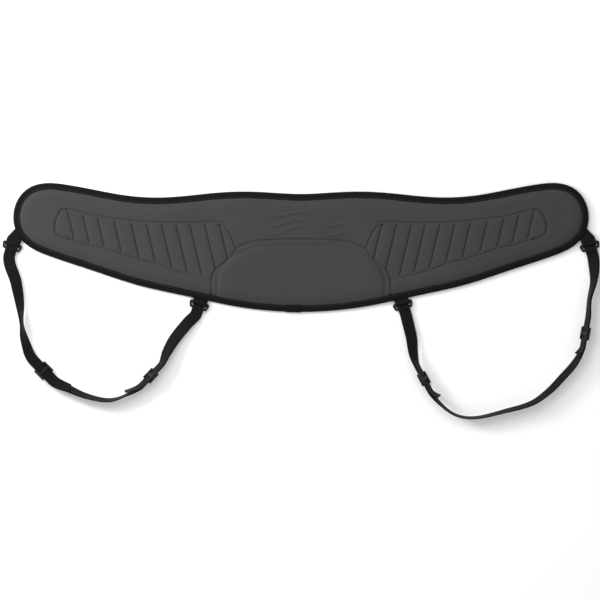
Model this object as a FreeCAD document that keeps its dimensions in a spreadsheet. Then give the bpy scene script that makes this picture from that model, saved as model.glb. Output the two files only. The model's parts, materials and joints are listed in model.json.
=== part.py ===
import FreeCAD, Part
import math
import os
import Sketcher
from FreeCAD import Placement, Rotation, Vector

# Padded harness band with two webbing leg loops, lying on its back.
# +X runs along the band, +Y to its top edge, +Z out of the moulded face.
# The origin is in the middle of the flat back face. Millimetres.

SIZES = [
    ("pad_half_length", 489, "middle of the band to its tip"),
    ("pad_half_height", 100, "unit of height of the band's outline"),
    ("crease_offset", 152, "middle of the band to the moulded crease"),
    ("crease_gap", 0.4, "gap between a wing and the centre at the crease"),
    ("binding_cloth", 0.9, "thickness of the binding tape"),
    ("binding_width", 11.5, "binding seen on the face and on the back"),
    ("binding_chamfer", 1.0, "broken outer corners of the binding"),
    ("tape_end_length", 26, "overlapped end of the binding tape"),
    ("fit_gap", 0.1, "cloth and foam inside the binding"),
    ("back_skin", 1.2, "back cloth under the binding"),
    ("flange", 3.2, "foam pressed flat at the rim"),
    ("face_skin", 1.6, "moulded face cloth and its backing"),
    ("field_height", 12.0, "face of the ribbed field above the back"),
    ("field_slope", 14, "width of the slope from the rim to the field"),
    ("panel_rise", 2.5, "smooth centre panel above the ribbed field"),
    ("panel_half_base", 147, "half width of the centre panel"),
    ("panel_bevel", 6, "sloped border of the centre panel"),
    ("insert_inset", 12, "lumbar insert inside the panel's outline"),
    ("insert_thickness", 4, "lumbar insert"),
    ("rib_count", 10, "grooves on each wing"),
    ("rib_first", 171.9, "top of a wing's first groove from the middle"),
    ("rib_pitch", 25.9, "one groove to the next along the band"),
    ("rib_lean", 14, "degrees, tops outwards"),
    ("rib_top_inset", 48.5, "top of the grooves below the top edge"),
    ("rib_bottom_inset", 38, "foot of the grooves above the lower edge"),
    ("groove_width", 4.4, "width of a groove at the face"),
    ("groove_depth", 1.1, "depth of a groove in the face"),
    ("thread_width", 0.7, "sewing thread"),
    ("thread_inset", 9, "seam from the edge of the band"),
    ("ring_height", 3.8, "bars of the rings above the back"),
    ("ring_standoff", 6.5, "bar in the tab, outside the edge"),
    ("outer_ring_shift", 21, "outer ring beyond the end of the lower edge"),
    ("bar_radius", 2.0, "round bar of a ring"),
    ("bar_pitch", 9, "tab bar to strap bar of a ring"),
    ("ring_corner", 2.2, "bend at a ring's corners"),
    ("bar_play", 0.3, "webbing fold round a bar"),
    ("side_play", 0.4, "webbing to an adjuster's side"),
    ("ring_play", 1.4, "webbing to a ring's side"),
    ("tab_webbing", 25, "width of the tab webbing"),
    ("strap_webbing", 20, "width of the leg strap webbing"),
    ("webbing", 1.4, "thickness of one layer of webbing"),
    ("strap_doubled", 3.0, "strap where it runs doubled"),
    ("inner_tab_depth", 26, "inner tab, bar to sewn end"),
    ("inner_tab_corner", 0.5, "cut corner of an inner tab"),
    ("outer_tab_depth", 28, "outer tab, bar to sewn end"),
    ("tab_mitre", 19, "length of the slanted end of an outer tab"),
    ("tab_mitre_width", 9.5, "width of the slanted end of an outer tab"),
    ("pocket_gap", 0.3, "tab in its pocket in the rim"),
    ("adjuster_length", 22, "slide adjuster along the strap"),
    ("adjuster_side", 2.4, "side rail of an adjuster"),
    ("adjuster_plate", 1.7, "thickness of its cross rails and bar"),
    ("adjuster_play", 0.3, "cross rails and bar to the webbing"),
    ("adjuster_rail", 4, "width of its two cross rails"),
    ("adjuster_bar", 5, "width of its centre bar"),
    ("adjuster_travel", 10, "slide to either side"),
    ("run_spare", 2, "straight webbing beyond an adjuster's travel"),
    ("eye_straight", 5, "straight webbing beyond a ring's fold"),
]

# Upper and lower edge of the right half, as shares of the half length and the
# half height. The tip ends the upper edge and the tab corner the lower one.
UPPER_EDGE = [
    (0.0, 0.97), (0.125, 1.0), (0.225, 1.01), (0.32, 0.98), (0.42, 0.93), (0.52, 0.912),
    (0.62, 0.955), (0.72, 1.045), (0.83, 1.14), (0.89, 1.155), (0.95, 1.06), (0.985, 0.87), (1.0, 0.54),
]
TAB_CORNER = (0.957, 0.12)
LOWER_EDGE = [
    (0.986, 0.29), TAB_CORNER, (0.87, -0.095), (0.73, -0.323), (0.56, -0.59), (0.45, -0.713),
    (0.348, -0.82), (0.23, -0.94), (0.12, -1.01), (0.0, -1.037),
]
INNER_TAB_PLACE = (0.348, -0.82)

# Arch of the centre panel's right half, from its top to its lower corner.
PANEL_ARCH = [(0, 20), (40, 19.5), (75, 17), (106, 4), (127, -19), (143, -38)]

# Leg loops lying on the table. Each place gives the distance along the line of
# the strap bars from the inner ring, the distance out from that line and the
# lean of the webbing in degrees. An adjuster has its heading from that line
# before its lean.
BAR_SPAN = 333
LEFT_LOOP = {
    "inner run": [(9, 29, 12), (22, 62, 22), (28, 88, 42)],
    "inner adjuster": (42, 134, 64, 64),
    "bottom": [(74, 180, 78), (98, 195.5, 70), (135, 200, 62), (170, 197, 48)],
    "outer adjuster": (218, 181, -28, 25),
    "outer run": [(265, 140, 50), (278, 116, 78), (291, 85, 50), (308, 52, 20)],
}
RIGHT_LOOP = {
    "inner run": [(-1, 26, 12), (-3, 52, 24), (-8, 80, 45)],
    "inner adjuster": (-4, 125, 80, 66),
    "bottom": [(14, 181, 76), (33, 203, 78), (62, 215, 76), (110, 219, 70), (158, 220, 64),
               (191, 210, 56), (221, 194, 52), (250, 176, 55)],
    "outer adjuster": (281, 134, -62, 66),
    "outer run": [(305, 82, 74), (321, 55, 60), (329, 32, 30)],
}
RUNS = ["inner run", "bottom", "outer run"]
SECTION_STEP = 16
EDGE_SAMPLES = 72
HEIGHT_SAMPLES = 288
UP = Vector(0, 0, 1)

doc = FreeCAD.newDocument("HarnessBand")
sheet = doc.addObject("Spreadsheet::Sheet", "Sizes")
for row, (alias, value, meaning) in enumerate(SIZES, start=1):
    sheet.set(f"A{row}", alias)
    sheet.set(f"B{row}", str(value))
    sheet.setAlias(f"B{row}", alias)
    sheet.set(f"C{row}", meaning)
doc.recompute()
nodes = []


def size(alias):
    """A driving dimension from the sheet."""
    return float(sheet.get(alias))


def keep(name, shape, placement=None):
    """A sub-part whose shape is worked out in code."""
    part = doc.addObject("Part::Feature", name)
    part.Shape = shape
    part.Placement = placement or Placement()
    part.Label = name
    nodes.append(part)
    return part


# The band's edge and its layers

def outline_points():
    """Points of the whole edge, clockwise from the middle of the top."""
    half_length = size("pad_half_length")
    half_height = size("pad_half_height")
    right = [Vector(x * half_length, y * half_height, 0) for x, y in UPPER_EDGE + LOWER_EDGE]
    left = [Vector(-point.x, point.y, 0) for point in reversed(right[1:-1])]
    return right + left


def closed_curve(points):
    """Smooth closed curve through the points."""
    curve = Part.BSplineCurve()
    curve.interpolate(Points=points, PeriodicFlag=True)
    return curve


def open_curve(points):
    """Smooth curve through the points."""
    curve = Part.BSplineCurve()
    curve.interpolate(Points=points)
    return curve


def inset_points(curve, inset, samples):
    """Points spread along a clockwise curve, moved to its right by the inset."""
    first, last = curve.FirstParameter, curve.LastParameter
    points = []
    for index in range(samples):
        place = first + (last - first) * index / samples
        forward = curve.tangent(place)[0]
        points.append(curve.value(place) + Vector(forward.y, -forward.x, 0) * inset)
    return points


EDGE = closed_curve(outline_points())


def edge_wire(inset, level):
    """The band's edge, moved inwards, at a level."""
    curve = closed_curve(inset_points(EDGE, inset, EDGE_SAMPLES))
    wire = Part.Wire([curve.toShape()])
    wire.translate(UP * level)
    return wire


def slab(inset, low, high):
    """Slab of the band's outline, moved inwards, between two levels."""
    return Part.Face(edge_wire(inset, low)).extrude(UP * (high - low))


def mound(low_inset, low, high_inset, high):
    """Body that tapers from one inset outline up to another."""
    return Part.makeLoft([edge_wire(low_inset, low), edge_wire(high_inset, high)], True, True)


def edge_height(x, inset, upper):
    """Height in Y of the edge's upper or lower part at x, moved inwards."""
    points = inset_points(EDGE, inset, HEIGHT_SAMPLES)
    for a, b in zip(points, points[1:] + points[:1]):
        if (b.x > a.x) == upper and min(a.x, b.x) <= x <= max(a.x, b.x):
            return a.y + (b.y - a.y) * (x - a.x) / (b.x - a.x)
    raise ValueError(f"no edge at {x}")


def panel_wire(inset, level):
    """Outline of the smooth centre panel, moved inwards, at a level."""
    slope_end = size("binding_width") + size("field_slope")
    half_base = size("panel_half_base") - inset
    scale = half_base / PANEL_ARCH[-1][0]
    right = [Vector(x * scale, y - inset, 0) for x, y in PANEL_ARCH]
    arch = [Vector(-point.x, point.y, 0) for point in reversed(right[1:])] + right
    corner = edge_height(half_base, slope_end + inset, False)
    middle = edge_height(0, slope_end + inset, False)
    foot_right = Vector(half_base, corner, 0)
    foot_left = Vector(-half_base, corner, 0)
    wire = Part.Wire([
        open_curve(arch).toShape(),
        Part.makeLine(arch[-1], foot_right),
        Part.Arc(foot_right, Vector(0, middle, 0), foot_left).toShape(),
        Part.makeLine(foot_left, arch[0]),
    ])
    wire.translate(UP * level)
    return wire


rim_back = size("binding_cloth")
rim_core = rim_back + size("back_skin")
rim_face = rim_core + size("flange")
rim_top = rim_face + size("face_skin")
band_rim = rim_top + size("binding_cloth")
layer_inset = size("binding_cloth") + size("fit_gap")
opening_inset = size("binding_width") + size("fit_gap")
field_inset = size("binding_width") + size("field_slope")
field_top = size("field_height")
panel_top = field_top + size("panel_rise")


def rib_line(index):
    """Top and foot of one groove on the right side."""
    slope = math.tan(math.radians(size("rib_lean")))
    top_x = size("rib_first") + index * size("rib_pitch")
    top_y = edge_height(top_x, size("rib_top_inset"), True)
    foot_x = top_x
    for _ in range(4):
        foot_y = edge_height(foot_x, size("rib_bottom_inset"), False)
        foot_x = top_x - (top_y - foot_y) * slope
    return Vector(top_x, top_y, 0), Vector(foot_x, foot_y, 0)


def groove(start, end):
    """V-shaped cutter along a line on the ribbed field."""
    along = end - start
    side = Vector(along.y, -along.x, 0).normalize() * size("groove_width")
    face_level = start + UP * field_top
    rise = UP * size("groove_depth")
    corners = [face_level - rise, face_level + rise + side, face_level + rise - side]
    return Part.Face(Part.makePolygon(corners + corners[:1])).extrude(along)


def mirrored(shape):
    """The same shape on the other side of the band's middle."""
    return shape.mirror(Vector(0, 0, 0), Vector(1, 0, 0))


def slice_of(shape, from_x, to_x, top=2):
    """The part of a layer between two places along the band, up to a share of its half height."""
    foot = -2 * size("pad_half_height")
    depth = top * size("pad_half_height") - foot
    box = Part.makeBox(to_x - from_x, depth, 4 * panel_top, Vector(from_x, foot, -panel_top))
    return shape.common(box)


foam = slab(layer_inset, rim_core, rim_face).fuse(
    mound(opening_inset + size("face_skin"), rim_face,
          field_inset + size("face_skin"), field_top - size("face_skin")))
panel = Part.makeLoft([panel_wire(0, rim_face), panel_wire(size("panel_bevel"), panel_top)], True, True)
face = slab(layer_inset, rim_face, rim_top).fuse(mound(opening_inset, rim_face, field_inset, field_top))
face = face.fuse(panel).cut(foam)
insert = Part.Face(panel_wire(size("insert_inset"), field_top - size("face_skin") - size("insert_thickness")))
insert = insert.extrude(UP * size("insert_thickness"))
foam = foam.cut(insert)
back = slab(layer_inset, rim_back, rim_core).fuse(slab(opening_inset, 0, rim_core))
rim = size("binding_chamfer")
binding = mound(rim, 0, 0, rim).fuse([
    slab(0, rim, band_rim - rim),
    mound(0, band_rim - rim, rim, band_rim),
])
binding = binding.cut(slab(size("binding_cloth"), rim_back, rim_top)).cut(
    slab(size("binding_width"), -1, band_rim + 1))

# The tape's end lies over its start at the middle of the lower edge.
cloth = size("binding_cloth")
over = slab(-cloth, 0, band_rim + cloth).cut(slab(0, cloth / 2, band_rim)).cut(
    slab(size("binding_width"), -1, band_rim + 2))
over = slice_of(over, -size("tape_end_length"), 0, top=0)
binding = binding.cut(over)
seam = slab(size("thread_inset"), band_rim, band_rim + size("thread_width")).cut(
    slab(size("thread_inset") + size("thread_width"), band_rim - 1, band_rim + 2))
seam = seam.cut(over)


# Where the rings hang

def along_edge(place):
    """A place given as shares of the half length and the half height."""
    return Vector(place[0] * size("pad_half_length"), place[1] * size("pad_half_height"), 0)


bar_along = (along_edge(TAB_CORNER) - along_edge(INNER_TAB_PLACE)).normalize()
bar_out = Vector(bar_along.y, -bar_along.x, 0)
bar_turn = math.degrees(math.atan2(bar_along.y, bar_along.x))
ring_level = UP * size("ring_height")
inner_tab_bar = along_edge(INNER_TAB_PLACE) + bar_out * size("ring_standoff") + ring_level
outer_tab_bar = (along_edge(TAB_CORNER) + bar_along * size("outer_ring_shift")
                 + bar_out * size("ring_standoff") + ring_level)
inner_strap_bar = inner_tab_bar + bar_out * size("bar_pitch")
outer_strap_bar = outer_tab_bar + bar_out * size("bar_pitch")


def bar_placement(centre):
    """A ring's own axes: X along its bars and Y back towards the band."""
    return Placement(centre, Rotation(UP, bar_turn))


def tab_leg(depth, mitre, mitre_width, grown):
    """Flat part of a tab in the ring's axes, its bar at the origin."""
    half = size("tab_webbing") / 2 + grown
    end = depth + grown
    outline = [Vector(-half, 0, 0), Vector(half, 0, 0), Vector(half, end - mitre, 0),
               Vector(half - mitre_width, end, 0), Vector(-half, end, 0), Vector(-half, 0, 0)]
    low = size("webbing") + grown
    leg = Part.Face(Part.makePolygon(outline)).extrude(UP * (2 * low))
    leg.translate(UP * -low)
    return leg


def fold(width, grown=0):
    """Webbing round a bar that lies along X."""
    radius = size("bar_radius") + size("bar_play") + size("webbing") + grown
    return Part.makeCylinder(radius, width, Vector(-width / 2, 0, 0), Vector(1, 0, 0))


def bar_hole(width):
    """Room for the bar in a fold."""
    radius = size("bar_radius") + size("bar_play")
    return Part.makeCylinder(radius, width + 2, Vector(-width / 2 - 1, 0, 0), Vector(1, 0, 0))


def tab_shape(depth, mitre, mitre_width):
    """Webbing folded round a ring's bar and sewn together."""
    width = size("tab_webbing")
    return tab_leg(depth, mitre, mitre_width, 0).fuse(fold(width)).cut(bar_hole(width)).removeSplitter()


def placed(shape, placement):
    """A copy of a shape moved from its own axes to its place."""
    return shape.transformed(placement.toMatrix(), copy=True)


outer_leg = (size("outer_tab_depth"), size("tab_mitre"), size("tab_mitre_width"))
inner_leg = (size("inner_tab_depth"), size("inner_tab_corner"), size("inner_tab_corner"))
pockets = []
for centre, leg in ((outer_tab_bar, outer_leg), (inner_tab_bar, inner_leg)):
    room = tab_leg(*leg, size("pocket_gap")).fuse(fold(size("tab_webbing") + 1, size("pocket_gap")))
    pockets.append(placed(room, bar_placement(centre)))

crease = size("crease_offset") - size("crease_gap") / 2
wing_start = size("crease_offset") + size("crease_gap") / 2
reach = size("pad_half_length") + 50
LAYERS = [("face_skin", face), ("foam_core", foam), ("back_skin", back), ("binding", binding),
          ("thread", seam)]

for layer, shape in LAYERS:
    keep(f"centre_{layer}", slice_of(shape, -crease, crease))
    wing = slice_of(shape, wing_start, reach)
    if layer == "face_skin":
        for index in range(int(size("rib_count"))):
            wing = wing.cut(groove(*rib_line(index)))
    if layer != "thread":
        wing = wing.cut(pockets)
    keep(f"right_wing_{layer}", wing)
    keep(f"left_wing_{layer}", mirrored(wing))
keep("lumbar_insert", insert)
keep("binding_end", over)



def left_placement(centre, turn):
    """The place on the left side that mirrors one on the right side."""
    return Placement(Vector(-centre.x, centre.y, centre.z), Rotation(UP, -turn))


for place, centre, leg in (("outer", outer_tab_bar, outer_leg), ("inner", inner_tab_bar, inner_leg)):
    tab = tab_shape(*leg)
    keep(f"right_{place}_tab", tab, bar_placement(centre))
    keep(f"left_{place}_tab", mirrored(tab), left_placement(centre, bar_turn))


# Rings: one bent wire, wider at the tab than at the strap

def ring_path():
    """Centre line of a ring in its own axes, its tab bar on the X axis."""
    wide = size("tab_webbing") / 2 + size("ring_play") + size("bar_radius")
    narrow = size("strap_webbing") / 2 + size("ring_play") + size("bar_radius")
    pitch = size("bar_pitch")
    corners = [Vector(-wide, 0, 0), Vector(wide, 0, 0), Vector(narrow, -pitch, 0),
               Vector(-narrow, -pitch, 0)]
    edges = []
    bends = []
    for index, corner in enumerate(corners):
        before = (corners[index - 1] - corner).normalize()
        after = (corners[(index + 1) % 4] - corner).normalize()
        half_angle = before.getAngle(after) / 2
        cut = size("ring_corner") / math.tan(half_angle)
        middle = corner + (before + after).normalize() * (
            size("ring_corner") / math.sin(half_angle) - size("ring_corner"))
        bends.append((corner + before * cut, middle, corner + after * cut))
    for index, (start, middle, end) in enumerate(bends):
        edges.append(Part.Arc(start, middle, end).toShape())
        edges.append(Part.makeLine(end, bends[(index + 1) % 4][0]))
    return Part.Wire(edges)


def add_ring(name, placement):
    """Ring of round wire swept along its path."""
    path = doc.addObject("Part::Feature", f"{name}_path")
    path.Shape = ring_path()
    section = doc.addObject("Part::Circle", f"{name}_wire")
    section.setExpression("Radius", "Sizes.bar_radius")
    start = path.Shape.Edges[0].Vertexes[0].Point
    along = path.Shape.Edges[0].tangentAt(path.Shape.Edges[0].FirstParameter)
    section.Placement = Placement(start, Rotation(UP, along))
    ring = doc.addObject("Part::Sweep", name)
    ring.Sections = [section]
    ring.Spine = (path, [f"Edge{index + 1}" for index in range(8)])
    ring.Solid = True
    ring.Frenet = False
    ring.Placement = placement
    ring.Label = name
    nodes.append(ring)


for place, centre in (("outer", outer_tab_bar), ("inner", inner_tab_bar)):
    add_ring(f"right_{place}_ring", bar_placement(centre))
    add_ring(f"left_{place}_ring", left_placement(centre, bar_turn))


# Leg straps, worked out on the right side and mirrored for the left

run_half = size("adjuster_length") / 2 + size("adjuster_travel") + size("run_spare")
adjuster_half = size("strap_webbing") / 2 + size("side_play") + size("adjuster_side")
eye_run = size("bar_radius") + size("bar_play") + size("webbing") + size("eye_straight")


def loop_place(along, out):
    """A place of a loop's route, whose length follows the rings' span."""
    span = (outer_strap_bar - inner_strap_bar).Length
    return inner_strap_bar + bar_along * (along * span / BAR_SPAN) + bar_out * out - ring_level


def heading(degrees):
    """Direction at an angle from the line of the strap bars, outwards."""
    angle = math.radians(degrees)
    return bar_along * math.cos(angle) + bar_out * math.sin(angle)


def adjuster_station(place):
    """Centre, its Z the lean in radians, and direction of the strap at an adjuster."""
    along, out, degrees, lean = place
    return loop_place(along, out) + UP * math.radians(lean), heading(degrees)


def bend(near, far, near_way, far_way, share):
    """Place and direction on a smooth bend between two points of the route."""
    reach = Vector(far.x - near.x, far.y - near.y, 0).Length
    two, three = share ** 2, share ** 3
    place = (near * (2 * three - 3 * two + 1) + near_way * (reach * (three - 2 * two + share))
             + far * (3 * two - 2 * three) + far_way * (reach * (three - two)))
    way = ((far - near) * (6 * share - 6 * two) + near_way * (reach * (3 * two - 4 * share + 1))
           + far_way * (reach * (3 * two - 2 * share)))
    return place, way


def bent_run(points, start_way, end_way):
    """Places and directions along a curved run, without its two ends."""
    steps = [after - before for before, after in zip(points, points[2:])]
    flat = [Vector(step.x, step.y, 0).Length for step in steps]
    ways = [start_way] + [step / length for step, length in zip(steps, flat)] + [end_way]
    stations = []
    for index in range(len(points) - 1):
        count = max(1, round((points[index + 1] - points[index]).Length / SECTION_STEP))
        for step in range(0 if index else 1, count):
            stations.append(bend(points[index], points[index + 1], ways[index], ways[index + 1],
                                 step / count))
    return stations


def strap_route(loop):
    """Stations of the strap in order: place, direction and thickness; Z is the lean in radians."""
    inner_eye = inner_strap_bar - ring_level
    outer_eye = outer_strap_bar - ring_level
    inner_centre, inner_way = adjuster_station(loop["inner adjuster"])
    outer_centre, outer_way = adjuster_station(loop["outer adjuster"])
    straights = [
        (inner_eye, inner_eye + bar_out * eye_run, bar_out),
        (inner_centre - inner_way * run_half, inner_centre + inner_way * run_half, inner_way),
        (outer_centre - outer_way * run_half, outer_centre + outer_way * run_half, outer_way),
        (outer_eye + bar_out * eye_run, outer_eye, -bar_out),
    ]
    doubled = size("strap_doubled")
    stations = []
    for index, (start, end, way) in enumerate(straights):
        stations += [(start, way, doubled), (end, way, doubled)]
        if index == len(RUNS):
            break
        after, _, after_way = straights[index + 1]
        free = [loop_place(along, out) + UP * math.radians(lean) for along, out, lean in loop[RUNS[index]]]
        thickness = size("webbing") if RUNS[index] == "bottom" else doubled
        for place, forward in bent_run([end] + free + [after], way, after_way):
            stations.append((place, forward, thickness))
    return stations


def strap_level(lean):
    """Height of the webbing's middle, so that an adjuster at that lean clears the table."""
    return size("ring_height") * math.cos(lean) + adjuster_half * math.sin(lean)


def strap_corners(spot, forward, thickness):
    """Corners of the webbing's cross section at a station of its route."""
    forward = Vector(forward.x, forward.y, 0).normalize()
    outwards = Vector(forward.y, -forward.x, 0)
    lean = spot.z
    half_width = size("strap_webbing") / 2
    across = outwards * math.cos(lean) + UP * math.sin(lean)
    centre = Vector(spot.x, spot.y, strap_level(lean))
    side = across * half_width
    through = across.cross(forward) * (thickness / 2)
    return [centre + side + through, centre + side - through, centre - side - through,
            centre - side + through]


def ribbon(sections):
    """Solid through four-cornered cross sections, straight from each to the next."""
    faces = [Part.Face(Part.makePolygon(ends + ends[:1])) for ends in (sections[0], sections[-1])]
    for near, far in zip(sections, sections[1:]):
        for index in range(4):
            near_edge = Part.makeLine(near[index - 1], near[index])
            far_edge = Part.makeLine(far[index - 1], far[index])
            faces.append(Part.makeRuledSurface(near_edge, far_edge))
    shell = Part.Shell(faces)
    shell.sewShape()
    solid = Part.Solid(shell)
    if solid.Volume < 0:
        solid.reverse()
    return solid


def strap_shape(loop):
    """Webbing loop: doubled from each ring to its adjuster, single between."""
    width = size("strap_webbing")
    strap = ribbon([strap_corners(*station) for station in strap_route(loop)])
    for bar in (inner_strap_bar, outer_strap_bar):
        strap = strap.fuse(placed(fold(width), bar_placement(bar)))
    for bar in (inner_strap_bar, outer_strap_bar):
        strap = strap.cut(placed(bar_hole(width), bar_placement(bar)))
    return strap


keep("right_leg_strap", strap_shape(RIGHT_LOOP))
keep("left_leg_strap", mirrored(strap_shape(LEFT_LOOP)))


# Slide adjusters: two rails under the webbing and one bar over it

def centred_rectangle(body, name, width, depth, level, shift="0"):
    """Sketch of a rectangle on the body's X axis, lifted to a level."""
    origin = [item for item in body.Origin.OriginFeatures if item.Role == "XY_Plane"][0]
    sketch = body.newObject("Sketcher::SketchObject", name)
    sketch.AttachmentSupport = [(origin, "")]
    sketch.MapMode = "FlatFace"
    corners = [Vector(-9, -9, 0), Vector(9, -9, 0), Vector(9, 9, 0), Vector(-9, 9, 0)]
    for index in range(4):
        sketch.addGeometry(Part.LineSegment(corners[index], corners[(index + 1) % 4]), False)
    for index in range(4):
        sketch.addConstraint(Sketcher.Constraint("Coincident", index, 2, (index + 1) % 4, 1))
    for index, way in enumerate(("Horizontal", "Vertical", "Horizontal", "Vertical")):
        sketch.addConstraint(Sketcher.Constraint(way, index))
    sketch.addConstraint(Sketcher.Constraint("Symmetric", 0, 1, 2, 1, -1, 1))
    wide = sketch.addConstraint(Sketcher.Constraint("DistanceX", 0, 1, 0, 2, 18))
    deep = sketch.addConstraint(Sketcher.Constraint("DistanceY", 1, 1, 1, 2, 18))
    sketch.setExpression(f"Constraints[{wide}]", width)
    sketch.setExpression(f"Constraints[{deep}]", depth)
    sketch.setExpression("AttachmentOffset.Base.z", level)
    sketch.setExpression("AttachmentOffset.Base.x", shift)
    return sketch


def add_adjuster(name, placement):
    """Moulded slide adjuster round a straight stretch of webbing."""
    body = doc.addObject("PartDesign::Body", name)
    channel = "(Sizes.strap_webbing + 2 * Sizes.side_play)"
    across = f"{channel} + 2 * Sizes.adjuster_side"
    half_gap = "(Sizes.strap_doubled / 2 + Sizes.adjuster_play)"
    half_height = f"({half_gap} + Sizes.adjuster_plate)"
    block = body.newObject("PartDesign::Pad", f"{name}_block")
    block.Profile = centred_rectangle(body, f"{name}_outline", "Sizes.adjuster_length", across,
                                      f"-1 * {half_height}")
    block.setExpression("Length", f"2 * {half_height}")
    # The channel for the webbing, the window between the rails and the
    # recesses on both sides of the centre bar.
    length = "Sizes.adjuster_length"
    recess = f"({length} - Sizes.adjuster_bar) / 2"
    aside = f"({length} + Sizes.adjuster_bar) / 4"
    deep = "Sizes.adjuster_plate + 2"
    cuts = [
        ("channel", f"2 * {length}", f"-1 * {half_gap}", f"2 * {half_gap}", "0"),
        ("window", f"{length} - 2 * Sizes.adjuster_rail", f"-1 * {half_height} - 1", deep, "0"),
        ("front_recess", f"{recess} + 0.01", half_gap, deep, aside),
        ("rear_recess", f"{recess} + 0.01", half_gap, deep, f"-1 * {aside}"),
    ]
    for label, long, level, height, shift in cuts:
        pocket = body.newObject("PartDesign::Pocket", f"{name}_{label}")
        pocket.Profile = centred_rectangle(body, f"{name}_{label}_outline", long, channel, level, shift)
        pocket.Reversed = True
        pocket.setExpression("Length", height)
        body.Tip = pocket
    body.Placement = placement
    body.Label = name
    nodes.append(body)
    return body


for side, loop in (("right", RIGHT_LOOP), ("left", LEFT_LOOP)):
    for place in ("outer", "inner"):
        centre, way = adjuster_station(loop[f"{place} adjuster"])
        turn = math.degrees(math.atan2(way.y, way.x))
        middle = Vector(centre.x, centre.y, strap_level(centre.z))
        seat = Placement(middle, Rotation(UP, turn))
        if side == "left":
            seat = left_placement(middle, turn)
        leaned = Placement(Vector(0, 0, 0), Rotation(Vector(1, 0, 0), -math.degrees(centre.z)))
        add_adjuster(f"{side}_{place}_adjuster", seat * leaned)

doc.recompute()
os.makedirs("parts", exist_ok=True)
for item in doc.Objects:
    if {"Invalid", "Error"} & set(item.State):
        raise RuntimeError(f"{item.Label} failed: {item.State}")
for node in nodes:
    if node.Shape.isNull() or not node.Shape.isValid() or node.Shape.Volume <= 0:
        raise RuntimeError(f"{node.Label} has no valid shape")
    node.Shape.exportStep(f"parts/{node.Label}.step")
    print(f"{node.Label}: {len(node.Shape.Solids)} solid, {node.Shape.Volume / 1000:.2f} cm3")
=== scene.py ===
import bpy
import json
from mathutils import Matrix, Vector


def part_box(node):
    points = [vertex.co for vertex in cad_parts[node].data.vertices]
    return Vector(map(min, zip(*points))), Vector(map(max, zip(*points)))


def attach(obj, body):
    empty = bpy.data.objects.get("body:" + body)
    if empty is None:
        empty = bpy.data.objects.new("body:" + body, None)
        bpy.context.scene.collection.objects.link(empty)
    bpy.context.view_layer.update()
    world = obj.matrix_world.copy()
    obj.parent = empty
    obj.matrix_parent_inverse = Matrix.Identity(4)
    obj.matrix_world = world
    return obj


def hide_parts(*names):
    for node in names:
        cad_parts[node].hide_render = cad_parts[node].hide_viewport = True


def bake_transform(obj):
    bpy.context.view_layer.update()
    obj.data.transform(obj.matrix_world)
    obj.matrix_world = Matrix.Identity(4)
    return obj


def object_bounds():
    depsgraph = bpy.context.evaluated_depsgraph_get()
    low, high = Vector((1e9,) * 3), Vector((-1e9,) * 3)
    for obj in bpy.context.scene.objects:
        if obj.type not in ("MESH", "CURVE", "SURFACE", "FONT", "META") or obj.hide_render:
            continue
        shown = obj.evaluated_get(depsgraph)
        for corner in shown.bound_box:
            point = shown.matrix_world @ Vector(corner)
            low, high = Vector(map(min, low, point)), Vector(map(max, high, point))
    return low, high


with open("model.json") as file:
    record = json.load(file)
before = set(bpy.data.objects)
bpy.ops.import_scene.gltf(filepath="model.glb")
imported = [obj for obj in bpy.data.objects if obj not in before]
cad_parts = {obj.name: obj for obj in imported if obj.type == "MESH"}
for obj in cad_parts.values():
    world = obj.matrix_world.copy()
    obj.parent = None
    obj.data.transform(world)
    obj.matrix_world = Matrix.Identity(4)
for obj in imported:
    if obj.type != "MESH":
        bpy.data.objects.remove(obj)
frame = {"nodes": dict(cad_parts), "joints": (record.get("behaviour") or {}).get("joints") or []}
CAD_BOX = [list(corner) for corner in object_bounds()]

import json
import math

import bpy
import numpy as np
from bpy.props import FloatProperty, PointerProperty, StringProperty

bl_info = {
    "name": "Padded harness band",
    "version": (1, 0, 0),
    "blender": (4, 5, 0),
    "location": "View3D > Sidebar > Harness band",
    "description": "Moulded padded band with bound edge and two webbing leg loops",
    "category": "Object",
}

# Shapes are worked out in millimetres and laid in metres. +X runs along the
# band, +Y to its top edge and +Z out of the moulded face.
MM = 0.001
UP = np.array([0.0, 0.0, 1.0])
SIDES = {"right": 1, "left": -1}
JOINTS = {joint["name"]: joint for joint in frame["joints"]}


def box_mm(node):
    """Lowest and highest corners of a solid, in millimetres."""
    low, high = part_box(node)
    return np.array(low) / MM, np.array(high) / MM


def joint_mm(name):
    """Where a hinge's axis lies, in millimetres."""
    return np.array(JOINTS[name]["pos_m"]) / MM


# The band's edge from the middle of the top, round the right tip, to the
# middle of the bottom, as shares of the half length and the half height.
EDGE_SHAPE = [
    (0.0, 0.97), (0.125, 1.0), (0.225, 1.01), (0.32, 0.98), (0.42, 0.93), (0.52, 0.912), (0.62, 0.955),
    (0.72, 1.045), (0.83, 1.14), (0.89, 1.155), (0.95, 1.06), (0.985, 0.87), (1.0, 0.54), (0.986, 0.29),
    (0.957, 0.12), (0.87, -0.095), (0.73, -0.323), (0.56, -0.59), (0.45, -0.713), (0.348, -0.82),
    (0.23, -0.94), (0.12, -1.01), (0.0, -1.037),
]
EDGE_COUNT = 2400
HALF_COUNT = EDGE_COUNT // 2 + 1

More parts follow.
